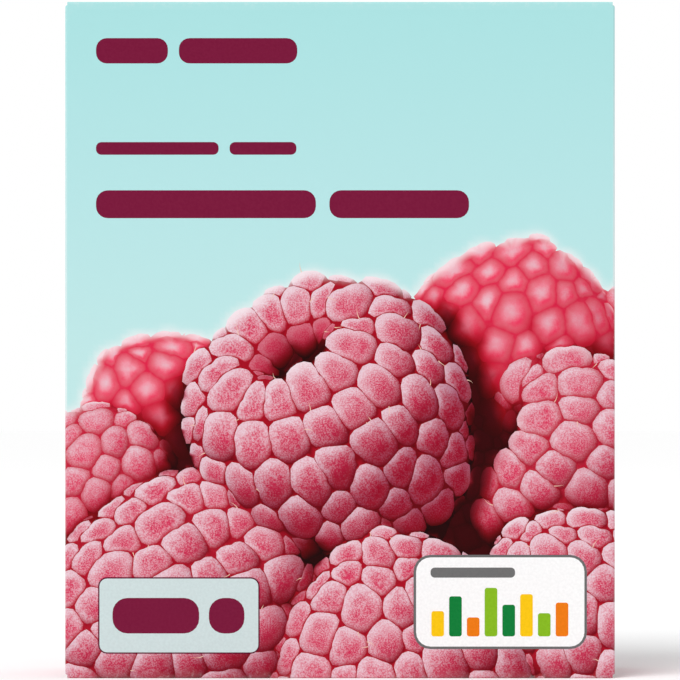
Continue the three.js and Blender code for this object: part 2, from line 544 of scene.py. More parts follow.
    def hairs(self, rng):
        """Short curved hairs that stand out of the creases of the berries in focus, as thin outlines."""
        shapes = []
        for index, rows, columns in self.drupelets_shown():
            if self.drupelets[index, FOCUS] < HAIR_FOCUS or rng.random() > HAIR_SHARE:
                continue
            _, rim, ways, _ = self.cell(index, rows, columns)
            start = rng.randrange(RAYS)
            if self.read(self.shade, *rim[start], SHADE_STEP) > HAIR_SHADE:
                continue
            turn = math.atan2(ways[start][1], ways[start][0]) + rng.uniform(-HAIR_TURN, HAIR_TURN)
            length = rng.uniform(*HAIR_LENGTH)
            shapes.append(hair(rim[start], turn, length, rng.uniform(-HAIR_BEND, HAIR_BEND)))
        return shapes


# Printed shapes, as lists of corners

def hair(start, turn, length, bend):
    """A thin curved sliver that runs to a point."""
    left, right = [], []
    place = np.array(start, float)
    for step in range(HAIR_STEPS):
        across = np.array([-math.sin(turn), math.cos(turn)]) * HAIR_WIDTH / 2 * (1 - step / HAIR_STEPS)
        left.append(tuple(place + across))
        right.append(tuple(place - across))
        place += np.array([math.cos(turn), math.sin(turn)]) * length / HAIR_STEPS
        turn += bend / HAIR_STEPS * 2
    return right + [tuple(place)] + left[::-1]


def rounded(left, low, right, high, radius):
    """A rectangle with round corners."""
    corners = []
    steps = 5
    middles = (
        (right - radius, high - radius),
        (left + radius, high - radius),
        (left + radius, low + radius),
        (right - radius, low + radius),
    )
    for quarter, (x, z) in enumerate(middles):
        for step in range(steps + 1):
            turn = quarter * math.pi / 2 + math.pi / 2 * step / steps
            corners.append((x + radius * math.cos(turn), z + radius * math.sin(turn)))
    return corners


def bar(left, low, length, height, colour="wine ink"):
    """A bar with round ends, which stands for a printed word, as its ink and its corners."""
    return colour, rounded(left, low, left + length, low + height, height * 0.42)


def plate(kind, left, low, width, height, corner, line):
    """A plate with a ruled edge of the given width round its own colour."""
    right, high = left + width, low + height
    return [
        (kind + " edge", rounded(left, low, right, high, corner)),
        (kind + " fill", rounded(left + line, low + line, right - line, high - line, corner - line)),
    ]


# Folded board

def path_length(kind, size):
    """How long a flat or a quarter fold of a path is."""
    return size if kind == "flat" else math.pi / 2 * size


def follow(run, start, heading, normal, steps):
    """Places and outward normals at runs along a path of flats and quarter folds in one plane.

    steps lists ("flat", length) and ("fold", radius), and each fold turns away from the normal. The first
    and last flats go on past their ends."""
    place, heading, normal = (np.array(v, float) for v in (start, heading, normal))
    places = np.zeros((len(run), 2))
    normals = np.zeros((len(run), 2))
    begun = -np.inf
    at = 0.0
    for number, (kind, size) in enumerate(steps):
        long = path_length(kind, size)
        end = np.inf if number == len(steps) - 1 else at + long
        here = (run >= begun) & (run < end)
        d = (run[here] - at)[:, None]
        if kind == "flat":
            places[here] = place + heading * d
            normals[here] = normal
            place = place + heading * long
        else:
            turn = d / size
            places[here] = place + size * (heading * np.sin(turn) - normal * (1 - np.cos(turn)))
            normals[here] = normal * np.cos(turn) + heading * np.sin(turn)
            place = place + size * (heading - normal)
            heading, normal = -normal, heading
        at += long
        begun = end
    return places, normals


class Sheet:
    """A printed sheet with four straight sides, laid out flat from first to last and from low to high."""

    def outline(self):
        first, last, low, high = self.first, self.last, self.low, self.high
        return [(first, low), (last, low), (last, high), (first, high)]


class Panel(Sheet):
    """One panel of the sleeve with its folds.

    s runs round the sleeve from the front's middle and t runs up, and t is the height where the panel
    stands straight."""

    def __init__(self, first, last, start, heading, normal, steps, level, forward=True):
        self.first, self.last = first, last
        self.path = (start, heading, normal, steps)
        self.forward = forward
        self.level = level
        self.low = level + END_FOLD_RADIUS - END_RUN
        self.high = HEIGHT - self.low
        self.across = self.fold_lines(steps)
        self.up = [self.low + END_RUN * i / FOLD_STEPS for i in range(1, FOLD_STEPS + 1)]
        self.up += [HEIGHT - t for t in self.up]

    def fold_lines(self, steps):
        """Where the folds' facets meet, as places across."""
        lines = []
        at = 0.0
        for kind, size in steps:
            long = path_length(kind, size)
            count = 1 if kind == "flat" else FOLD_STEPS
            lines += [at + long * i / count for i in range(1, count + 1)]
            at += long
        placed = [self.first + r if self.forward else self.last - r for r in lines]
        return [s for s in placed if self.first + TOUCHING < s < self.last - TOUCHING]

    def round_sleeve(self, s):
        """Where places stand in the sleeve's section, and which way they face there."""
        return follow(s - self.first if self.forward else self.last - s, *self.path)

    def in_space(self, s, t):
        """Where flat places lie on the folded carton, and which way the board faces there."""
        place, normal = self.round_sleeve(s)
        straight = HEIGHT - 2 * (self.level + END_FOLD_RADIUS)
        rise = (("fold", END_FOLD_RADIUS), ("flat", straight), ("fold", END_FOLD_RADIUS))
        end, tilt = follow(t - self.low, (END_FOLD_RADIUS, self.level), (-1, 0), (0, -1), rise)
        spot = place - normal * end[:, :1]
        push = CROWN * bow(spot[:, 0], end[:, 1])
        spot[:, 1] *= 1 + push / PANEL_Y
        faces = np.column_stack([normal * -tilt[:, :1], tilt[:, 1]])
        slope = bow_slope(spot[:, 0], end[:, 1]) * CROWN * abs(normal[:, 1:2])
        faces[:, 0] -= slope[:, 0]
        faces[:, 2] -= slope[:, 1]
        faces /= np.linalg.norm(faces, axis=1)[:, None]
        return np.column_stack([spot, end[:, 1]]), faces

    def fold_share(self, s, t):
        """1 on the board's folds and 0 on its flats, to place rubbing and a painted fold highlight."""
        across = 1 - np.abs(self.round_sleeve(s)[1]).max(axis=1)
        ends = np.minimum(t - self.low, self.high - t)
        return np.maximum(ease(0.0, 0.12, across), 1 - ease(END_RUN * 0.9, END_RUN * 1.3, ends))


def bow(x, z):
    """Share of the full bow of the front and back at a place."""
    along = np.clip((z - FLAT_END) / (HEIGHT - 2 * FLAT_END), 0, 1)
    return np.maximum(0, np.cos(math.pi * x / WIDTH) * np.sin(math.pi * along))


def bow_slope(x, z):
    """How steeply the bow rises across and up."""
    long = HEIGHT - 2 * FLAT_END
    along = np.clip((z - FLAT_END) / long, 0, 1)
    inside = (z > FLAT_END) & (z < HEIGHT - FLAT_END)
    across = -math.pi / WIDTH * np.sin(math.pi * x / WIDTH) * np.sin(math.pi * along)
    up = math.pi / long * np.cos(math.pi * x / WIDTH) * np.cos(math.pi * along) * inside
    return np.column_stack([across, up])


class Flap(Sheet):
    """A flat flap across an end, laid out as it is seen from outside. side is 1 on top and -1 below."""

    def __init__(self, first, last, low, high, level, side):
        self.first, self.last, self.low, self.high = first, last, low, high
        self.level = level
        self.side = side
        self.across, self.up = [], []

    def in_space(self, s, t):
        place = np.column_stack([s, self.side * t, np.full(len(s), self.level)])
        return place, np.tile((0.0, 0.0, float(self.side)), (len(s), 1))

    def fold_share(self, s, t):
        """A flap has no folds of its own that could be rubbed or carry a painted fold highlight."""
        return np.zeros(len(s))


# Turning a flat layout into board

def sides(outline):
    """Both ends of each side of an outline."""
    return zip(outline, outline[1:] + outline[:1])


def edge_points(panel):
    """The panel's outline with points added along each side, and wherever a fold meets it."""
    points = []
    for (x0, z0), (x1, z1) in sides(panel.outline()):
        long = math.hypot(x1 - x0, z1 - z0)
        count = max(1, round(long / PLAIN_STEP))
        parts = {i / count for i in range(count)}
        if abs(x1 - x0) > 0.5 * long:
            parts |= {(x - x0) / (x1 - x0) for x in panel.across}
        else:
            parts |= {(z - z0) / (z1 - z0) for z in panel.up}
        last = -1.0
        for f in sorted(p for p in parts if 0 <= p < 1 - SLIVER):
            if (f - last) * long > TOUCHING:
                points.append((x0 + (x1 - x0) * f, z0 + (z1 - z0) * f))
                last = f
    return points


def inside(outline, places):
    """Whether places lie in an outline that bulges everywhere."""
    held = np.ones(len(places), bool)
    for (x0, z0), (x1, z1) in sides(outline):
        held &= (x1 - x0) * (places[:, 1] - z0) - (z1 - z0) * (places[:, 0] - x0) > -SLIVER
    return held


def divide(panel, rim, extra, faces):
    """Cuts a flat panel into triangles along its folds and the printed faces.

    Returns the places, the triangles, and for each triangle the number of the topmost face on it, or -1."""
    points = [Vector(p) for p in rim]
    edges = [(i, (i + 1) % len(rim)) for i in range(len(rim))]
    folds = [((x, panel.low), (x, panel.high)) for x in panel.across]
    folds += [((panel.first, z), (panel.last, z)) for z in panel.up]
    for ends in folds:
        edges.append((len(points), len(points) + 1))
        points += [Vector(p) for p in ends]
    points += [Vector(p) for p in extra]
    loops = []
    known = {}
    for face in faces:
        loop = []
        for corner in face:
            key = tuple(round(float(v), MERGED_DIGITS) for v in corner)
            if key not in known:
                known[key] = len(points)
                points.append(Vector(key))
            loop.append(known[key])
        loops.append(loop)
    found = delaunay_2d_cdt(points, edges, loops, 0, 10 ** -MERGED_DIGITS, True)
    places = np.array([tuple(p) for p in found[0]])
    triangles = np.array(found[2])
    top = np.array([max(own, default=-1) for own in found[5]])
    held = inside(panel.outline(), places[triangles].mean(axis=1))
    return places, triangles[held], top[held]


def build_board(name, panel, places, triangles, materials, picked, corner_values):
    """A closed piece of board: the printed face, the plain inner face behind it and the cut edges."""
    used, triangles = np.unique(triangles, return_inverse=True)
    triangles = triangles.reshape(-1, 3)
    places = places[used]
    rim = ordered_rim(triangles)
    inner_places, inner_triangles = inner_face(panel, places[rim])
    outer, normals = panel.in_space(*places.T)
    back, back_normals = panel.in_space(*inner_places.T)
    back = back - back_normals * BOARD
    count, rim_count = len(places), len(rim)
    pairs = [(i, (i + 1) % rim_count) for i in range(rim_count)]
    edge_faces = [(rim[j], rim[i], count + i, count + j) for i, j in pairs]
    faces = triangles.tolist() + (inner_triangles[:, ::-1] + count).tolist() + edge_faces
    mesh = bpy.data.meshes.new(name)
    mesh.from_pydata((np.vstack([outer, back]) * MM).tolist(), [], faces)
    for material in materials:
        mesh.materials.append(material)
    slots = np.full(len(faces), len(materials) - 1, np.int32)
    slots[: len(triangles)] = picked
    mesh.polygons.foreach_set("material_index", slots)
    mesh.polygons.foreach_set("use_smooth", np.arange(len(faces)) < len(triangles))
    corners = len(mesh.loops)
    printed = 3 * len(triangles)
    for attribute, values in corner_values.items():
        filled = np.zeros((corners, 3), np.float32)
        filled[:printed] = values.reshape(-1, 3)
        mesh.attributes.new(attribute, "FLOAT_VECTOR", "CORNER").data.foreach_set("vector", filled.ravel())
    lay_out(mesh, panel, places, triangles, inner_places, inner_triangles, rim_count)
    turned = np.zeros((corners, 3))
    turned[:printed] = normals[triangles.ravel()]
    mesh.normals_split_custom_set(turned.tolist())
    piece = add_object(name, mesh)
    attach(piece, "root")


def ordered_rim(triangles):
    """The vertices of the one open edge round a set of triangles, in order."""
    half = {(int(a), int(b)) for t in triangles for a, b in zip(t, np.roll(t, -1))}
    after = {a: b for a, b in half if (b, a) not in half}
    start = min(after)
    rim = [start]
    while after[rim[-1]] != start:
        rim.append(after[rim[-1]])
    return rim


def inner_face(panel, rim_places):
    """The unprinted side, cut only along the folds. Its first vertices stand behind the rim's."""
    rim = [tuple(p) for p in rim_places]
    places, triangles, _ = divide(panel, rim, [], [])
    nearest = [int(np.argmin(((places - p) ** 2).sum(axis=1))) for p in rim_places]
    others = [i for i in range(len(places)) if i not in set(nearest)]
    order = nearest + others
    where = np.empty(len(places), int)
    where[order] = np.arange(len(places))
    return places[order], where[triangles]


def lay_out(mesh, panel, places, triangles, inner_places, inner_triangles, rim_count):
    """A map for textures: the print over nearly all of it, with the plain faces in strips above."""
    size = np.array([panel.last - panel.first, panel.high - panel.low])
    low = np.array([panel.first, panel.low])
    flat = (places[triangles.ravel()] - low) / size * (MAP_WIDTH, PRINT_HIGH) + MAP_START
    inner = (inner_places[inner_triangles[:, ::-1].ravel()] - low) / size * (MAP_WIDTH, INNER_HIGH)
    inner += (MAP_START, INNER_LOW)
    steps = np.arange(rim_count)
    u0, u1 = (MAP_START + MAP_WIDTH * (steps + i) / rim_count for i in (0, 1))
    v0, v1 = np.full(rim_count, RIM_LOW), np.full(rim_count, RIM_LOW + RIM_HIGH)
    rim = np.stack([u1, v0, u0, v0, u0, v1, u1, v1], axis=1).reshape(-1, 2)
    layer = mesh.uv_layers.new(name="OFBake")
    layer.data.foreach_set("uv", np.vstack([flat, inner, rim]).astype(np.float32).ravel())


def print_board(name, panel, picture, shapes):
    """Prints the heap and the shapes on a panel and builds it as board.

    shapes lists (ink, corners) from the lowest to the topmost."""
    hidden_by = [corners for ink, corners in shapes if ink in ("plate edge", "card edge")]

    def covered(spots):
        beside = spots[:, 0].max() < panel.first or spots[:, 0].min() > panel.last
        return beside or any(inside(corners, spots).all() for corners in hidden_by)

    fan_places, fan_values = np.zeros((0, 3, 2)), np.zeros((0, 3, READINGS))
    if picture:
        fan_places, fan_values = picture.fans(covered)
    faces = [f.tolist() for f in fan_places] + [corners for _, corners in shapes]
    places, triangles, top = divide(panel, edge_points(panel), field_points(panel, picture), faces)
    fans = len(fan_places)
    inks = ["teal print", "berry print"] + sorted({ink for ink, _ in shapes}) + ["plain board"]
    picked = np.zeros(len(triangles), np.int32)
    values = np.zeros((len(triangles), 3, READINGS))
    on_fan = (top >= 0) & (top < fans)
    picked[on_fan] = inks.index("berry print")
    values[on_fan] = blend_fans(places[triangles[on_fan]], fan_places, fan_values, top[on_fan])
    for number, (ink, _) in enumerate(shapes):
        picked[top == fans + number] = inks.index(ink)
    if picture:
        bare = np.flatnonzero(top < 0)
        middles = places[triangles[bare]].mean(axis=1)
        gap = picture.well_inside(middles)
        gap &= (middles[:, 1] < HEAP_TOP) & (middles[:, 1] > HEAP_LOW)
        picked[bare[gap]] = inks.index("berry print")
        spots = places[triangles[bare[gap]]]
        values[bare[gap]] = picture.crevices(spots.reshape(-1, 2)).reshape(-1, 3, READINGS)
        spots = places[triangles[bare[~gap]]]
        values[bare[~gap], :, GLOW] = heap_glow(picture, spots.reshape(-1, 2)).reshape(-1, 3)
    # How much each place lies on a fold: the folds are rubbed there and get a painted highlight
    fold_wear_and_highlight = panel.fold_share(*places[triangles.ravel()].T).reshape(-1, 3)
    corner_values = {
        "cell": values[..., CELL],
        "facing": values[..., FACING],
        "tint": values[..., TINT],
        "surface": np.dstack([fold_wear_and_highlight, values[..., OPEN_AIR], values[..., BARE]]),
    }
    build_board(name, panel, places, triangles, [MATERIALS[i] for i in inks], picked, corner_values)


def blend_fans(spots, fan_places, fan_values, numbers):
    """What the print reads at the corners of triangles that were cut from fan triangles."""
    a, b, c = (fan_places[numbers, i][:, None, :] for i in range(3))
    ab, ac, ap = b - a, c - a, spots - a
    area = ab[..., 0] * ac[..., 1] - ab[..., 1] * ac[..., 0]
    f = (ap[..., 0] * ac[..., 1] - ap[..., 1] * ac[..., 0]) / area
    g = (ab[..., 0] * ap[..., 1] - ab[..., 1] * ap[..., 0]) / area
    parts = np.stack([1 - f - g, f, g], axis=-1)
    return np.einsum("nij,njk->nik", parts, fan_values[numbers])


def heap_distance(picture, spots):
    """How far places on the plain field are from the nearest drupelet."""
    x, z, _, radius = picture.drupelets[:, :4].T
    found = []
    for part in np.array_split(spots, max(1, len(spots) // 500)):
        gap = np.hypot(part[:, :1] - x, part[:, 1:] - z) - radius
        found.append(gap.min(axis=1))
    return np.maximum(np.concatenate(found), 0)


def heap_glow(picture, spots):
    """How much of the pale glow along the heap lies at places on the plain field."""
    return np.exp(-((heap_distance(picture, spots) / GLOW_WIDTH) ** 2))


def field_points(panel, picture):
    """Points that let the plain field follow the board's bow, and the pale glow along the heap."""
    coarse = grid_points(panel, PLAIN_STEP)
    if not picture:
        return coarse.tolist()
    fine = grid_points(panel, GLOW_STEP)
    fine = fine[fine[:, 1] < HEAP_TOP + GLOW_BAND]
    away = heap_distance(picture, fine)
    fine = fine[(away > HEAP_CLEARANCE) & (away < GLOW_BAND)]
    away = heap_distance(picture, coarse)
    return np.vstack([fine, coarse[away >= GLOW_BAND]]).tolist()


def grid_points(panel, step):
    """Points in even rows over a panel, clear of the folds at its ends."""
    across = np.arange(panel.first + step / 2, panel.last - step / 4, step)
    up = np.arange(panel.low + END_RUN + step / 2, panel.high - END_RUN - step / 4, step)
    grid = np.array([(x, z) for z in up for x in across])
    return grid[inside(panel.outline(), grid)]


# Materials

class Value:
    """A number that a material works out at each place, to be used in formulas."""

    def __init__(self, shader, socket):
        self.shader = shader
        self.socket = socket

    def __add__(self, other):
        return self.shader.math("ADD", self, other)

    def __sub__(self, other):
        return self.shader.math("SUBTRACT", self, other)

    def __rsub__(self, other):
        return self.shader.math("SUBTRACT", other, self)

    def __mul__(self, other):
        return self.shader.math("MULTIPLY", self, other)

    def __truediv__(self, other):
        return self.shader.math("DIVIDE", self, other)

    def clamped(self):
        """The same number, kept from 0 to 1."""
        self.socket.node.use_clamp = True
        return self


class Shader:
    """A material's nodes, added one by one and joined by name."""

    def __init__(self, name):
        self.material = bpy.data.materials.new(name)
        self.material.use_nodes = True
        self.nodes = self.material.node_tree.nodes
        self.links = self.material.node_tree.links
        self.surface = self.nodes["Principled BSDF"]

    def add(self, kind, inputs=None, **settings):
        node = self.nodes.new(kind)
        for key, value in settings.items():
            setattr(node, key, value)
        for key, value in (inputs or {}).items():
            self.put(node.inputs[key], value)
        return node

    def put(self, socket, value):
        """Joins a value to a socket, or sets the socket to a constant."""
        if isinstance(value, Value):
            self.links.new(value.socket, socket)
        elif isinstance(value, bpy.types.NodeSocket):
            self.links.new(value, socket)
        else:
            socket.default_value = value

    def math(self, operation, *values):
        node = self.add("ShaderNodeMath", dict(enumerate(values)), operation=operation)
        return Value(self, node.outputs[0])

    def ease(self, low, high, value):
        inputs = {"Value": value, "From Min": low, "From Max": high}
        return Value(self, self.add("ShaderNodeMapRange", inputs, interpolation_type="SMOOTHSTEP").outputs[0])

    def mix(self, share, first, second, blend="MIX"):
        node = self.add("ShaderNodeMix", data_type="RGBA", blend_type=blend)
        self.put(node.inputs[0], share)
        self.put(node.inputs[6], first)
        self.put(node.inputs[7], second)
        return node.outputs[2]

    def ramp(self, value, stops):
        """A colour that runs through stops, each a place and a colour."""
        node = self.add("ShaderNodeValToRGB", {"Fac": value})
        elements = node.color_ramp.elements
        elements[0].position, elements[1].position = stops[0][0], stops[-1][0]
        for place, _ in stops[1:-1]:
            elements.new(place)
        for element, (_, colour) in zip(elements, stops):
            element.color = colour
        return node.outputs[0]

    def vector(self, operation, *values):
        return self.add("ShaderNodeVectorMath", dict(enumerate(values)), operation=operation).outputs

    def attribute(self, name):
        """The three values of an attribute of the mesh."""
        return self.parts(self.add("ShaderNodeAttribute", attribute_name=name).outputs["Vector"])

    def parts(self, vector):
        return [Value(self, part) for part in self.add("ShaderNodeSeparateXYZ", {0: vector}).outputs]

    def place(self):
        """The place on the carton in millimetres."""
        here = self.add("ShaderNodeTexCoord").outputs["Object"]
        return self.vector("MULTIPLY", here, (1 / MM,) * 3)[0]

    def noise(self, place, scale, detail=2.0, roughness=0.5):
        inputs = {"Vector": place, "Scale": scale, "Detail": detail, "Roughness": roughness}
        return Value(self, self.add("ShaderNodeTexNoise", inputs).outputs["Fac"])

    def finish(self, colour, roughness, fibres, strength, depth):
        """Gives the surface its colour, its roughness and a bump of fibres so many mm deep."""
        bump = self.add("ShaderNodeBump", {"Strength": strength, "Distance": depth * MM, "Height": fibres})
        for name, value in (("Base Color", colour), ("Roughness", roughness), ("Normal", bump.outputs[0])):
            self.put(self.surface.inputs[name], value)
        return self.material


def finish_board(shader, colour):
    """Varnished board over a printed colour: rubbed folds, a painted fold highlight, fibres and an uneven
    sheen.
    """
    place = shader.place()
    # On the folds the colour is drawn toward white, in noisy scuffs as rubbed board and evenly as a painted
    # highlight
    fold_wear_and_highlight = shader.attribute("surface")[0]
    scuffs = shader.ease(0.52, 0.66, shader.noise(place, 0.9, 4.0, 0.65))
    worn_and_lit = fold_wear_and_highlight * (scuffs * 0.16 + 0.05)
    fibres = shader.noise(place, 3.2, 3.0, 0.6)
    cloudy = shader.noise(place, 0.05)
    dull = fibres * 0.10 + cloudy * 0.10 + VARNISH_ROUGHNESS
    shader.put(shader.surface.inputs["Specular IOR Level"], VARNISH)
    # The near-white is rubbed board and, evenly along every fold, a painted highlight
    scuffed_and_lit = shader.mix(worn_and_lit, colour, linear(244, 246, 246))
    return shader.finish(scuffed_and_lit, worn_and_lit * 0.4 + dull, fibres, 0.25, 0.02)


def ink(name, colour):
    """A flat printed colour, with the faint mottle of ink on board."""
    shader = Shader(name)
    mottle = shader.ease(0.3, 0.7, shader.noise(shader.place(), 1.6, 3.0))
    lighter = tuple(min(1.0, c * 1.06 + 0.002) for c in colour[:3]) + (1.0,)
    return finish_board(shader, shader.mix(mottle, colour, lighter))


def teal_print():
    """The pale teal field, lighter down the pack and glowing white along the heap."""
    shader = Shader("teal print")
    height = shader.parts(shader.place())[2] / HEIGHT
    field = shader.ramp(height, (
        (0.45, linear(197, 237, 236)),
        (0.72, linear(187, 234, 235)),
        (1.0, linear(175, 231, 231)),
    ))
    glow = shader.attribute("tint")[0]
    return finish_board(shader, shader.mix(glow * 0.6, field, linear(246, 248, 248)))


def berry_print():
    """Frosted drupelets: red flesh under pale rime, thick on the rims that face the sun and speckled.

    Each drupelet sinks into a crimson crease on its shaded side, what lies deep turns maroon, and the
    skyline glows. Out of focus, only a pale spot is left in the middle of each drupelet."""
    shader = Shader("berry print")
    place = shader.place()
    u, v, crevice = shader.attribute("cell")
    tone, shade, focus = shader.attribute("tint")
    _, open_air, bare = shader.attribute("surface")
    facing = shader.add("ShaderNodeAttribute", attribute_name="facing").outputs["Vector"]
    facing = shader.vector("NORMALIZE", facing)[0]
    lit = shader.vector("DOT_PRODUCT", facing, SUN)["Value"]
    sideways = 1 - shader.parts(facing)[2]
    out = shader.math("SQRT", u * u + v * v)
    sunward = u * SUN_ACROSS + v * SUN_UP
    bright = shader.ease(-0.1, 1.0, tone * 0.16 + lit)
    sharp = (focus * 1.5).clamped()
    grains = shader.ease(0.37, 0.63, shader.noise(place, 3.0, 2.0, 0.8))
    patches = shader.noise(place, 0.32)

    crisp = shader.ease(0.35, 0.98, out) * 0.36 + bright * 0.24 + sunward * 0.38
    crisp = crisp + shader.ease(0.35, 0.95, sideways) * 0.35 + grains * 0.68 - 0.29
    spot = 1 - shader.ease(-0.1, 0.85, out - sunward * 0.3)
    soft = spot * (bright * 0.8 + 0.08)
    rime = crisp * sharp + soft * (1 - sharp) + patches * 0.9 - 0.41
    rime = (rime * ((0.9 - shade * 0.7) * (1 - bare * 0.6))).clamped()

    sunlit = shader.mix(sharp, linear(255, 70, 108), linear(218, 52, 92))
    turned = shader.mix(sharp, linear(192, 8, 50), linear(150, 2, 36))
    flesh = shader.mix(bright, turned, sunlit)
    frost = shader.mix(bright, linear(168, 88, 116), linear(238, 206, 217))
    frosted = shader.mix(rime, flesh, frost)
    edge = shader.ease(focus * 0.58 + 0.25, sharp * 0.37 + 0.88, out - sunward * (sharp * 0.24))
    wider = (crevice * (1.8 - sharp * 0.8)).clamped()
    crease = edge * wider * (focus * 0.2 + 0.78)
    deepest = shader.mix(sharp, linear(172, 8, 44), linear(118, 0, 22))
    crimson = shader.mix(bright, deepest, shader.mix(sharp, linear(226, 26, 68), linear(190, 12, 46)))
    creased = shader.mix(crease, frosted, crimson)

    depth = shader.ramp(shader.ease(0.05, 1.0, shade), (
        (0.0, (1.0, 1.0, 1.0, 1.0)),
        (0.35, (0.80, 0.46, 0.52, 1.0)),
        (0.68, (0.40, 0.05, 0.09, 1.0)),
        (1.0, (0.05, 0.0, 0.006, 1.0)),
    ))
    shaded = shader.mix(1.0, creased, depth, "MULTIPLY")
    rim = shader.ease(0.45, 1.0, out) * (1 - crevice) * (bright * 0.45 + 0.05)
    rim = rim * (1 - shader.ease(0.1, 0.5, shade))
    glow = shader.math("MAXIMUM", rim, shader.ease(0.06, 0.52, open_air) * 0.85)
    return finish_board(shader, shader.mix(glow, shaded, linear(253, 238, 243)))


def plain_board():
    """Unprinted carton board: grey-white, with fibres, as the inside and the cut edges show."""
    shader = Shader("plain board")
    fibres = shader.noise(shader.place(), 4.0, 4.0, 0.7)
    colour = shader.mix(fibres, linear(198, 192, 180), linear(232, 228, 218))
    return shader.finish(colour, fibres * 0.15 + 0.75, fibres, 0.5, 0.05)


INKS = {
    "hair ink": (240, 198, 176),
    "wine ink": (122, 20, 58),
    "plate edge": (92, 14, 44),
    "plate fill": (209, 225, 225),
    "card edge": (108, 108, 108),
    "card fill": (253, 253, 253),
    "grey ink": (112, 112, 112),
    "green ink": (10, 126, 56),
    "lime ink": (136, 188, 32),
    "yellow ink": (252, 202, 14),
    "orange ink": (240, 124, 14),
}
MATERIALS = {"teal print": teal_print(), "berry print": berry_print(), "plain board": plain_board()}
MATERIALS.update({name: ink(name, linear(*colour)) for name, colour in INKS.items()})


# What is printed on each panel. The heading's bars: place across, down from the top, length and height
HEADING = (
    (0, 14.6, 17.0, 6.0),
    (19.6, 14.6, 28.0, 6.0),
    (0, 36.2, 29.0, 3.0),
    (31.6, 36.2, 15.8, 3.0),
    (0, 51.2, 52.0, 6.6),
    (55.2, 51.2, 33.0, 6.6),
)

# The card's upright bars: ink and height
UPRIGHTS = (
    ("yellow ink", 6.0),
    ("green ink", 9.5),
    ("orange ink", 4.5),
    ("lime ink", 11.5),
    ("green ink", 7.5),
    ("yellow ink", 10.0),
    ("lime ink", 5.5),
    ("orange ink", 8.0),
)


def title_bars(left):
    """Three lines of plain bars, a thin one among thick ones, where the heading's words would stand."""
    return [bar(left + across, HEIGHT - down, length, height) for across, down, length, height in HEADING]


def side_title(left):
    """One bar near the top of a narrow side."""
    return [bar(left, 143, SIDE_PRINT, 6.4)]


def weight_plate(left, low):
    """The pale plate at the lower left, with two plain bars."""
    shapes = plate("plate", left, low, 38.2, 18.1, 2.1, 0.32)
    return shapes + [bar(left + 3.4, low + 4.8, 20.5, 8.4), bar(left + 26.2, low + 4.8, 8.4, 8.4)]


def colour_card(left, low):
    """The white card at the lower right, with a heading bar and a row of plain upright bars."""
    height, width, step, foot = 22.3, 3.0, 4.2, low + 3.0
    shapes = plate("card", left, low, 41.0, height, 4.0, 0.6)
    shapes.append(bar(left + 4.0, low + height - 5.4, 20.0, 2.4, "grey ink"))
    for i, (name, tall) in enumerate(UPRIGHTS):
        at = left + step + i * step
        shapes.append((name, rounded(at, foot, at + width, foot + tall, 0.6)))
    return shapes


def text_lines(left, top, width, count, rng):
    """Rows of thin bars that stand for small print."""
    shapes = []
    for row in range(count):
        at = left
        end = left + width * (rng.uniform(0.55, 0.8) if row == count - 1 else rng.uniform(0.92, 1.0))
        while at < end - 3 * TEXT_HEIGHT:
            long = min(rng.uniform(3.0, 9.0) * TEXT_HEIGHT, end - at)
            shapes.append(bar(at, top - row * TEXT_STEP - TEXT_HEIGHT, long, TEXT_HEIGHT))
            at += long + TEXT_HEIGHT * 0.9
    return shapes


def facts_table(left, low, width, height, rows):
    """A pale table with ruled lines and a short bar in each field."""
    margin, right_bar, half_rule = 1.2, 6.5, 0.08
    shapes = plate("card", left, low, width, height, margin, 0.3)
    step = height / rows
    for row in range(rows):
        base = low + row * step
        if row:
            rule = rounded(left + margin, base - half_rule, left + width - margin, base + half_rule, 0.07)
            shapes.append(("grey ink", rule))
        long = width * (0.30 + 0.18 * ((row * 7) % 3) / 2)
        shapes.append(bar(left + 2.0, base + step * 0.36, long, step * 0.28))
        shapes.append(bar(left + width - right_bar - 2.0, base + step * 0.36, right_bar, step * 0.28))
    return shapes


# The pieces

def sleeve_panels():
    """The four printed panels with their folds: two wide ones, and two narrow ones that own the corners."""
    flat = ("flat", 2 * FRONT_HALF)
    corner = ("fold", CORNER_RADIUS)
    narrow = ("flat", 2 * SIDE_HALF)
    seam_end = CORNER_RUN + SIDE_HALF + PANEL_Y - SEAM_GAP
    tab_start = 2 * FRONT_HALF - BOARD
    front = Panel(-FRONT_HALF, FRONT_HALF, (-FRONT_HALF, -PANEL_Y), (1, 0), (0, -1), [flat], 0)
    right = Panel(
        FRONT_HALF, FRONT_HALF + SIDE_RUN, (FRONT_HALF, -PANEL_Y), (1, 0), (0, -1),
        [corner, narrow, corner], 2 * BOARD)
    left = Panel(
        -FRONT_HALF - seam_end, -FRONT_HALF, (-FRONT_HALF, -PANEL_Y), (-1, 0), (0, -1),
        [corner, narrow], 2 * BOARD, forward=False)
    back_first = FRONT_HALF + SIDE_RUN
    back = Panel(
        back_first, back_first + tab_start + CORNER_RUN + GLUE_TAB, (FRONT_HALF, PANEL_Y), (-1, 0), (0, 1),
        [("flat", tab_start), corner, ("flat", GLUE_TAB)], BOARD)
    return front, right, back, left


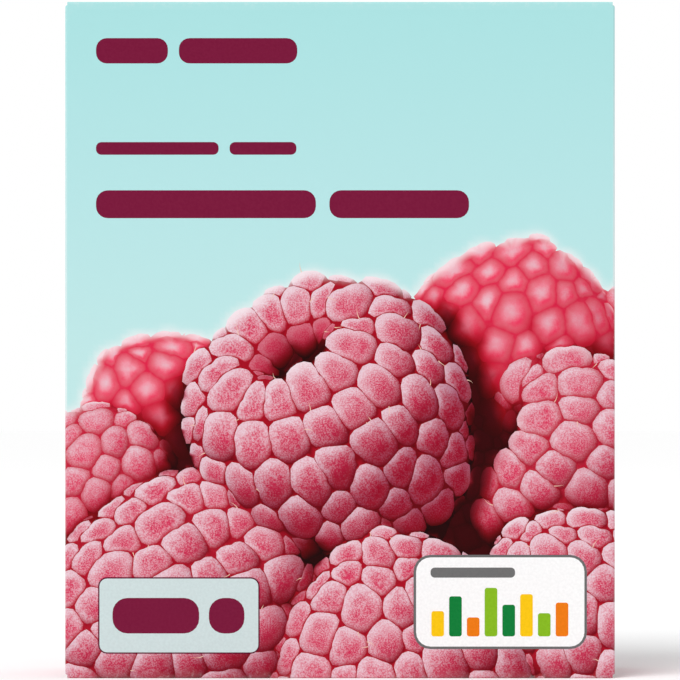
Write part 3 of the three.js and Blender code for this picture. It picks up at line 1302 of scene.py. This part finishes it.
def sleeve(picture):
    """Prints the four panels: the heading on the wide ones, and small print on all but the front."""
    front, right, back, left = sleeve_panels()
    rng = random.Random(PRINT_SEED)
    hairs = [("hair ink", corners) for corners in picture.hairs(rng)]
    plates = weight_plate(left=-57.2, low=5.8) + colour_card(left=17.4, low=6.9)
    print_board("front_panel", front, picture, hairs + title_bars(PRINT_LEFT) + plates)
    start = BACK_MIDDLE + PRINT_LEFT
    small_print = text_lines(start, 98, 60, 6, rng) + facts_table(start + 72, 74, 44, 30, rows=6)
    print_board("back_panel", back, picture, hairs + title_bars(start) + small_print)
    start = FRONT_HALF + SIDE_RUN / 2 - SIDE_PRINT / 2
    small_print = text_lines(start, 134, SIDE_PRINT, 11, rng)
    print_board("right_panel", right, picture, side_title(start) + small_print)
    start = -FRONT_HALF - SIDE_RUN / 2 - SIDE_PRINT / 2
    small_print = facts_table(start, 92, SIDE_PRINT, 44, rows=9) + text_lines(start, 84, SIDE_PRINT, 5, rng)
    print_board("left_panel", left, picture, side_title(start) + small_print)


def end_flaps():
    """The glued ends: the front's flap over the back's flap over two dust flaps from the sides."""
    reach = WIDTH / 2 - FLAP_SIDE_GAP
    edge = WIDTH / 2 - END_FOLD_RADIUS
    fold = PANEL_Y - END_FOLD_RADIUS
    free = PANEL_Y - FREE_EDGE_GAP
    dust = fold - DUST_FLAP_GAP
    ends = (
        ("top", 1, HEIGHT, -fold, free, bar(-24, -4.6, 48, 8.6)),
        ("bottom", -1, 0.0, -free, fold, bar(-16, -3.2, 32, 5.4)),
    )
    for name, side, level, low, high, title in ends:
        under = side * BOARD
        print_board("outer_flap_" + name, Flap(-reach, reach, low, high, level, side), None, [title])
        print_board("inner_flap_" + name, Flap(-reach, reach, -high, -low, level - under, side), None, [])
        for word, first, last in (("right", edge - DUST_FLAP, edge), ("left", -edge, -edge + DUST_FLAP)):
            panel = Flap(first, last, -dust, dust, level - 2 * under, side)
            print_board("dust_flap_" + name + "_" + word, panel, None, [])


# The surroundings

def aim(holder, direction):
    """Turns a light to shine in a direction."""
    holder.rotation_euler = Vector(direction).to_track_quat("-Z", "Y").to_euler()


def stage():
    """A pale floor, even soft light and the camera, square on and level with the pack's middle."""
    bpy.ops.mesh.primitive_plane_add(size=FLOOR_SIZE, location=(0, 0, 0))
    floor = bpy.context.object
    floor.name = "floor"
    paint = Shader("floor")
    paint.put(paint.surface.inputs["Base Color"], (1, 1, 1, 1))
    paint.put(paint.surface.inputs["Roughness"], 0.9)
    floor.data.materials.append(paint.material)

    studio()
    for name, settings in LAMPS.items():
        lamp(name, *settings)

    camera = add_object("camera", bpy.data.cameras.new("camera"))
    bpy.context.scene.camera = camera
    camera.data.lens = LENS
    camera.data.sensor_width = SENSOR
    away = HEIGHT * PHOTO_PIXELS / PACK_PIXELS * LENS / SENSOR
    camera.location = (0, -(DEPTH / 2 + away) * MM, HEIGHT / 2 * MM)
    camera.rotation_euler = (math.radians(90), 0, 0)
    bpy.context.scene.view_settings.view_transform = "Standard"


def studio():
    """White all round as seen, softer as light, and one broad overhead light that gives the pack its form."""
    world = bpy.data.worlds.new("studio")
    bpy.context.scene.world = world
    world.use_nodes = True
    nodes, links = world.node_tree.nodes, world.node_tree.links
    nodes["Background"].inputs["Color"].default_value = (1, 1, 1, 1)
    strength = nodes.new("ShaderNodeMapRange")
    strength.inputs["To Min"].default_value = AMBIENT
    strength.inputs["To Max"].default_value = 1.0
    links.new(nodes.new("ShaderNodeLightPath").outputs["Is Camera Ray"], strength.inputs["Value"])
    links.new(strength.outputs[0], nodes["Background"].inputs["Strength"])
    light = bpy.data.lights.new("overhead", "SUN")
    light.energy = OVERHEAD
    light.angle = math.radians(OVERHEAD_SPREAD)
    aim(add_object("overhead", light), OVERHEAD_WAY)


def lamp(name, place, size, watts):
    """A soft square light aimed at the pack's middle, with its place and size in metres."""
    light = bpy.data.lights.new(name, "AREA")
    light.size = size
    light.energy = watts
    holder = add_object(name, light)
    holder.location = place
    aim(holder, Vector((0, 0, HEIGHT / 2 * MM)) - Vector(place))


sleeve(Picture(heap(), -FRONT_HALF - SIDE_RUN - 1, BACK_MIDDLE + FRONT_HALF + GLUE_TAB + 2))
end_flaps()
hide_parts("carton")
stage()

bpy.context.view_layer.update()
